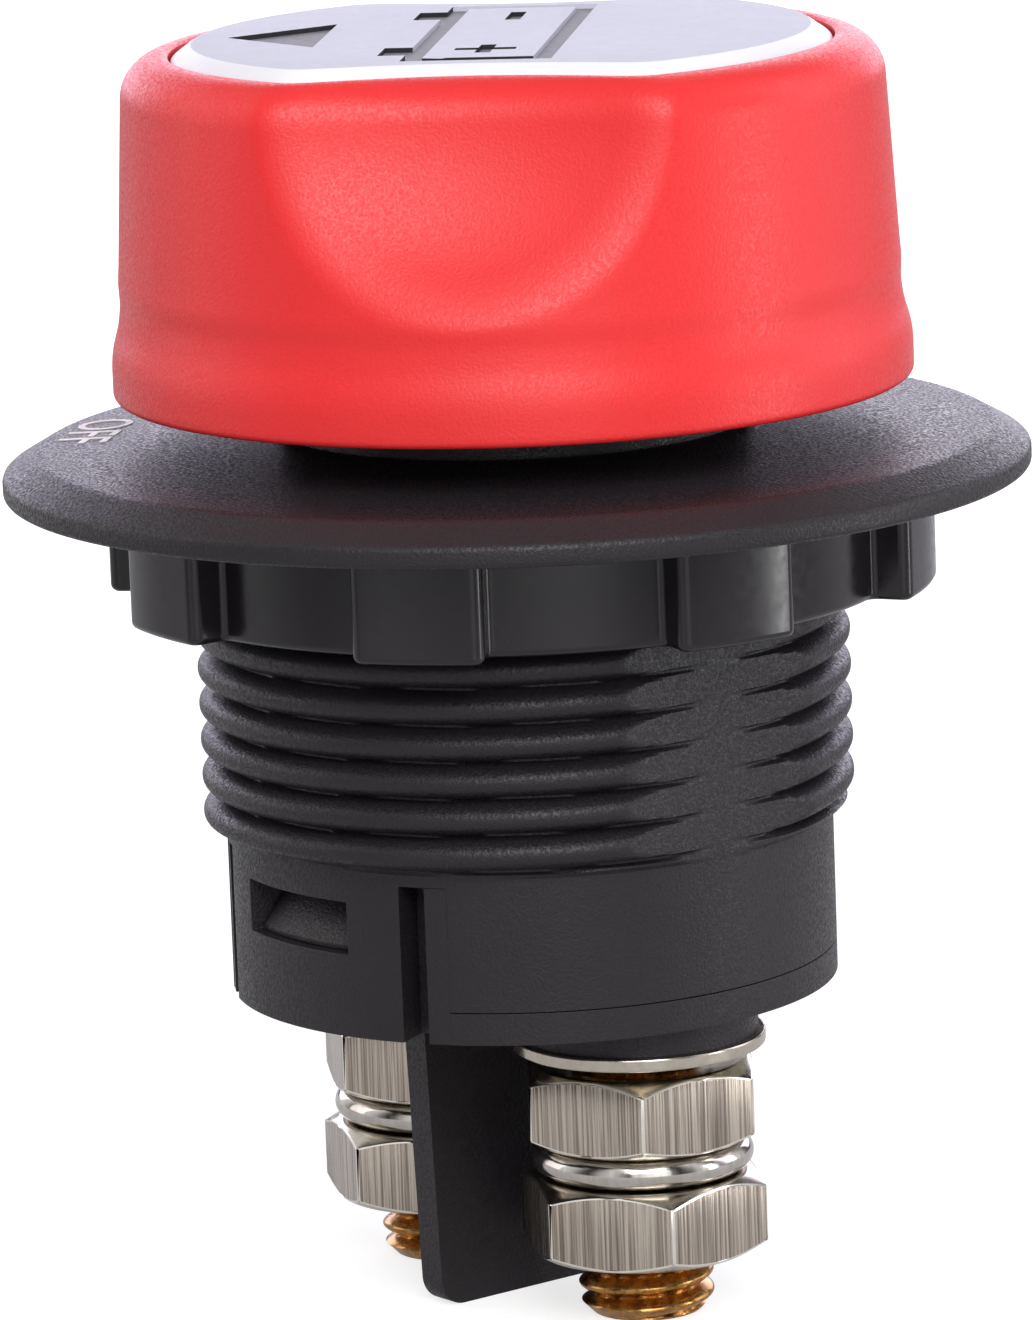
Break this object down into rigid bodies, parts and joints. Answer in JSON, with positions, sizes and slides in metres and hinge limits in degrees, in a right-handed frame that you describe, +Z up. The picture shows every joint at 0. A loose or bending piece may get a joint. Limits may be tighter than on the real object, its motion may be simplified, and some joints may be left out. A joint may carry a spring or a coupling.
{
  "type": "battery disconnect switch",
  "caption": "Round panel-mounted battery disconnect switch with a red turn knob, a flange, a threaded barrel with a ring nut, and bolted terminals under it.",
  "frame": {"origin": "on the switch's axis at the level of the stud ends and of the foot of the terminal divider", "axes": "+Z up along the switch's axis, out of the panel towards the knob; X through the two studs; Y along the divider"},
  "size_m": [0.0597, 0.0596, 0.0741],
  "materials": {
    "knob_plastic": "moulded red plastic with a fine satin texture",
    "cap_plastic": "pale grey satin plastic",
    "housing_plastic": "black glass-filled plastic, spark-eroded texture",
    "ring_plastic": "black smooth moulded plastic",
    "nickel_steel": "nickel-plated, vertically brushed flats",
    "lock_steel": "bright plated spring steel",
    "stud_brass": "rolled brass thread",
    "bridge_copper": "plain copper",
    "contact_silver": "silver alloy",
    "seal_rubber": "black nitrile rubber",
    "washer_acetal": "natural acetal",
    "inner_plastic": "dark glass-filled plastic",
    "plated_screw": "zinc-plated steel"
  },
  "bodies": {
    "mounting": {"housing": "housing_plastic", "base": "housing_plastic", "return_spring": "lock_steel", "stud_right": "stud_brass", "flat_washer_right": "nickel_steel", "upper_nut_right": "nickel_steel", "lower_nut_right": "nickel_steel", "lock_washer_right": "lock_steel", "stud_left": "stud_brass", "flat_washer_left": "nickel_steel", "upper_nut_left": "nickel_steel", "lower_nut_left": "nickel_steel", "lock_washer_left": "lock_steel"},
    "knob_group": {"knob": "knob_plastic", "cap_insert": "cap_plastic", "knob_screw": "plated_screw", "spindle": "inner_plastic", "shaft_seal": "seal_rubber", "thrust_washer": "washer_acetal", "detent_ball_front": "lock_steel", "detent_ball_rear": "lock_steel", "detent_spring_front": "lock_steel", "detent_spring_rear": "lock_steel"},
    "panel_nut": {"ring_nut": "ring_plastic"},
    "contact_group": {"contact_carrier": "inner_plastic", "contact_bridge": "bridge_copper", "contact_rivet_right": "contact_silver", "contact_rivet_left": "contact_silver"}
  },
  "joints": [
    {"name": "knob_turn", "type": "hinge", "parent": "mounting", "child": "knob_group", "pos_m": [0, 0, 0.05], "axis": [0, 0, 1], "range_deg": [-90, 0]},
    {"name": "panel_nut_travel", "type": "slide", "parent": "mounting", "child": "panel_nut", "axis": [0, 0, -1], "range_m": [0, 0.0135]},
    {"name": "contact_travel", "type": "slide", "parent": "mounting", "child": "contact_group", "axis": [0, 0, -1], "range_m": [0, 0.0025], "deforming": ["return_spring"]}
  ],
  "couplings": [
    {"joint": "contact_travel", "follows": "knob_turn", "m_per_rad": -0.001591}
  ]
}
